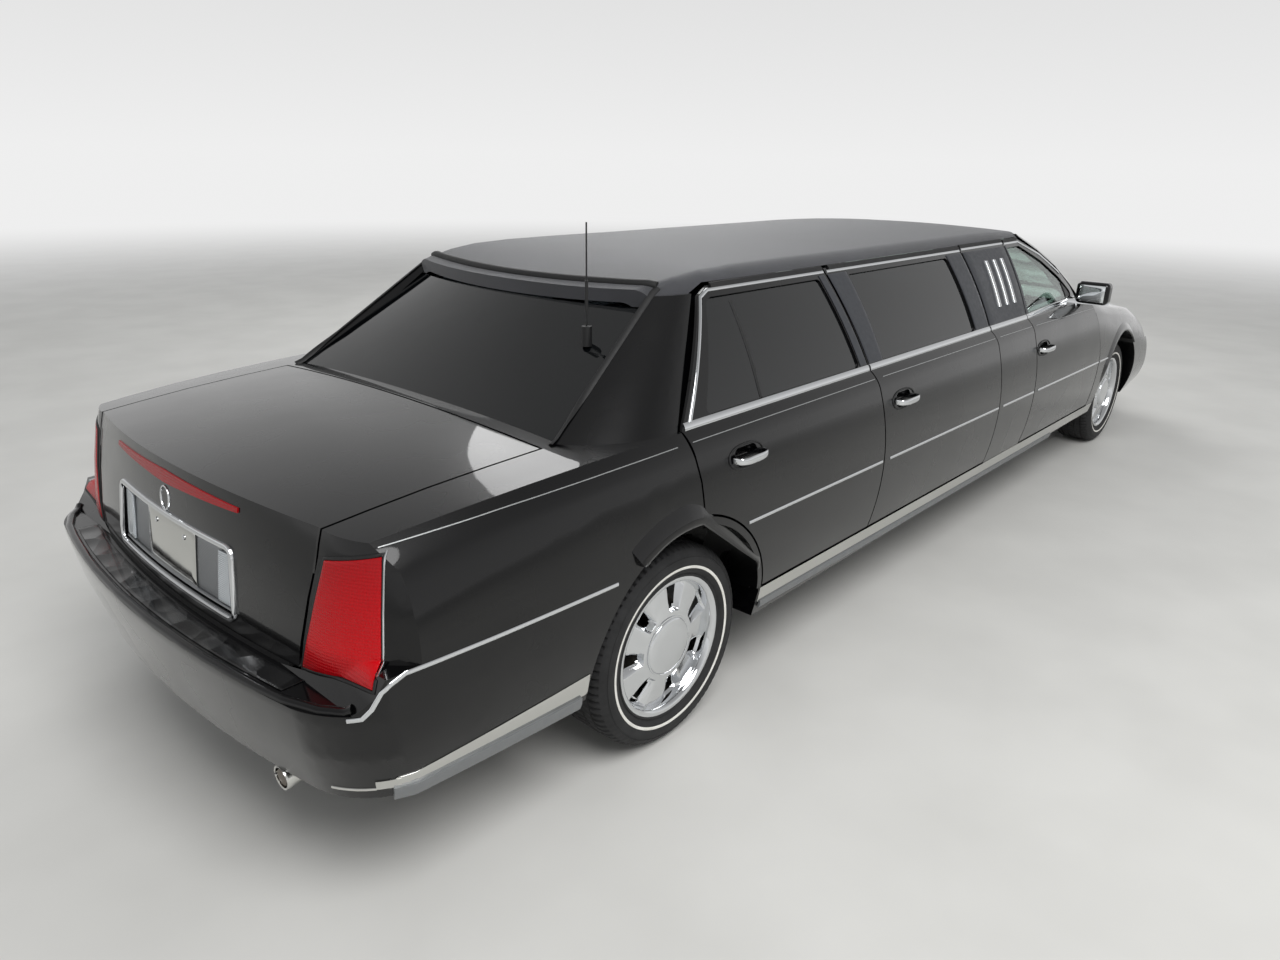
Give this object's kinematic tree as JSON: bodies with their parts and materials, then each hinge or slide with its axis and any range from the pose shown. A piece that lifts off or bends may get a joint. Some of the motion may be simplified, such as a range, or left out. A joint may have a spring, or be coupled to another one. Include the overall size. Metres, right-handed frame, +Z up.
{
  "type": "six-door stretched limousine",
  "caption": "Long black saloon limousine with three doors a side, vinyl roof, bright sill bands and opening doors, boot and bonnet",
  "frame": {"origin": "on the ground under the middle of the car's length and width", "axes": "+X forwards, +Y to the car's left, +Z up"},
  "size_m": [6.787, 2.04, 1.57],
  "materials": {
    "black_paint": "gloss",
    "vinyl": "grained matte",
    "underbody": "satin",
    "glass_dark": "tinted",
    "glass_clear": "clear",
    "chrome": "polished",
    "polished_steel": "polished",
    "red_lens": "gloss",
    "clear_lens": "gloss",
    "black_plastic": "matte",
    "black_rubber": "matte",
    "tyre_rubber": "matte",
    "leather": "satin",
    "cast": "rough",
    "steel": "satin"
  },
  "bodies": {
    "body": {"aerial": "black_plastic", "back_glass": "glass_dark", "cowl": "black_paint", "dashboard": "black_plastic", "engine": "cast", "exhaust": "steel", "filler_panels": "black_paint", "floor": "underbody", "front_bumper": "black_paint", "front_subframe": "underbody", "front_wings": "black_paint", "grille": "chrome", "headlamps": "clear_lens", "lid_seals": "black_rubber", "rear_axle_beam": "underbody", "rear_bumper": "black_paint", "rear_deck": "black_paint", "rear_quarters": "black_paint", "rocker_bands": "polished_steel", "roof": "vinyl", "seats": "leather", "side_frames": "black_paint", "steering_wheel": "black_plastic", "tail_lamps": "red_lens", "windscreen": "glass_clear"},
    "door_rear_left": {"door_rear_left": "black_paint", "glass_rear_left": "glass_dark"},
    "door_rear_right": {"door_rear_right": "black_paint", "glass_rear_right": "glass_dark"},
    "door_middle_left": {"door_middle_left": "black_paint", "glass_middle_left": "glass_dark"},
    "door_middle_right": {"door_middle_right": "black_paint", "glass_middle_right": "glass_dark"},
    "door_front_left": {"door_front_left": "black_paint", "glass_front_left": "glass_clear"},
    "door_front_right": {"door_front_right": "black_paint", "glass_front_right": "glass_clear"},
    "boot_lid": {"boot_lid": "black_paint", "brake_lamp": "red_lens"},
    "bonnet": {"bonnet": "black_paint"},
    "knuckle_left": {"knuckle_left": "cast"},
    "wheel_front_left": {"rim_front_left": "chrome", "tyre_front_left": "tyre_rubber"},
    "wheel_rear_left": {"rim_rear_left": "chrome", "tyre_rear_left": "tyre_rubber"},
    "knuckle_right": {"knuckle_right": "cast"},
    "wheel_front_right": {"rim_front_right": "chrome", "tyre_front_right": "tyre_rubber"},
    "wheel_rear_right": {"rim_rear_right": "chrome", "tyre_rear_right": "tyre_rubber"}
  },
  "joints": [
    {"name": "door_rear_left_hinge", "type": "hinge", "parent": "body", "child": "door_rear_left", "pos_m": [-1.0585, 0.928, 0.62], "axis": [0, 0, -1], "range_deg": [0, 65]},
    {"name": "door_rear_right_hinge", "type": "hinge", "parent": "body", "child": "door_rear_right", "pos_m": [-1.0585, -0.928, 0.62], "axis": [0, 0, 1], "range_deg": [0, 65]},
    {"name": "door_middle_left_hinge", "type": "hinge", "parent": "body", "child": "door_middle_left", "pos_m": [0.1065, 0.928, 0.62], "axis": [0, 0, -1], "range_deg": [0, 65]},
    {"name": "door_middle_right_hinge", "type": "hinge", "parent": "body", "child": "door_middle_right", "pos_m": [0.1065, -0.928, 0.62], "axis": [0, 0, 1], "range_deg": [0, 65]},
    {"name": "door_front_left_hinge", "type": "hinge", "parent": "body", "child": "door_front_left", "pos_m": [1.6865, 0.928, 0.62], "axis": [0, 0, -1], "range_deg": [0, 65]},
    {"name": "door_front_right_hinge", "type": "hinge", "parent": "body", "child": "door_front_right", "pos_m": [1.6865, -0.928, 0.62], "axis": [0, 0, 1], "range_deg": [0, 65]},
    {"name": "boot_lid_hinge", "type": "hinge", "parent": "body", "child": "boot_lid", "pos_m": [-2.4785, 0, 1.016], "axis": [0, 1, 0], "range_deg": [0, 75]},
    {"name": "bonnet_hinge", "type": "hinge", "parent": "body", "child": "bonnet", "pos_m": [1.8695, 0, 0.977], "axis": [0, -1, 0], "range_deg": [0, 50]},
    {"name": "steer_left", "type": "hinge", "parent": "body", "child": "knuckle_left", "pos_m": [2.2595, 0.712, 0.33], "axis": [0, 0, 1], "range_deg": [-35, 35]},
    {"name": "steer_right", "type": "hinge", "parent": "body", "child": "knuckle_right", "pos_m": [2.2595, -0.712, 0.33], "axis": [0, 0, 1], "range_deg": [-35, 35]},
    {"name": "spin_front_left", "type": "hinge", "parent": "knuckle_left", "child": "wheel_front_left", "pos_m": [2.2595, 0.788, 0.33], "axis": [0, 1, 0], "continuous": true},
    {"name": "spin_front_right", "type": "hinge", "parent": "knuckle_right", "child": "wheel_front_right", "pos_m": [2.2595, -0.788, 0.33], "axis": [0, 1, 0], "continuous": true},
    {"name": "spin_rear_left", "type": "hinge", "parent": "body", "child": "wheel_rear_left", "pos_m": [-2.1935, 0.788, 0.33], "axis": [0, 1, 0], "continuous": true},
    {"name": "spin_rear_right", "type": "hinge", "parent": "body", "child": "wheel_rear_right", "pos_m": [-2.1935, -0.788, 0.33], "axis": [0, 1, 0], "continuous": true}
  ],
  "couplings": [
    {"joint": "steer_left", "follows": "steer_right", "ratio": 1}
  ]
}
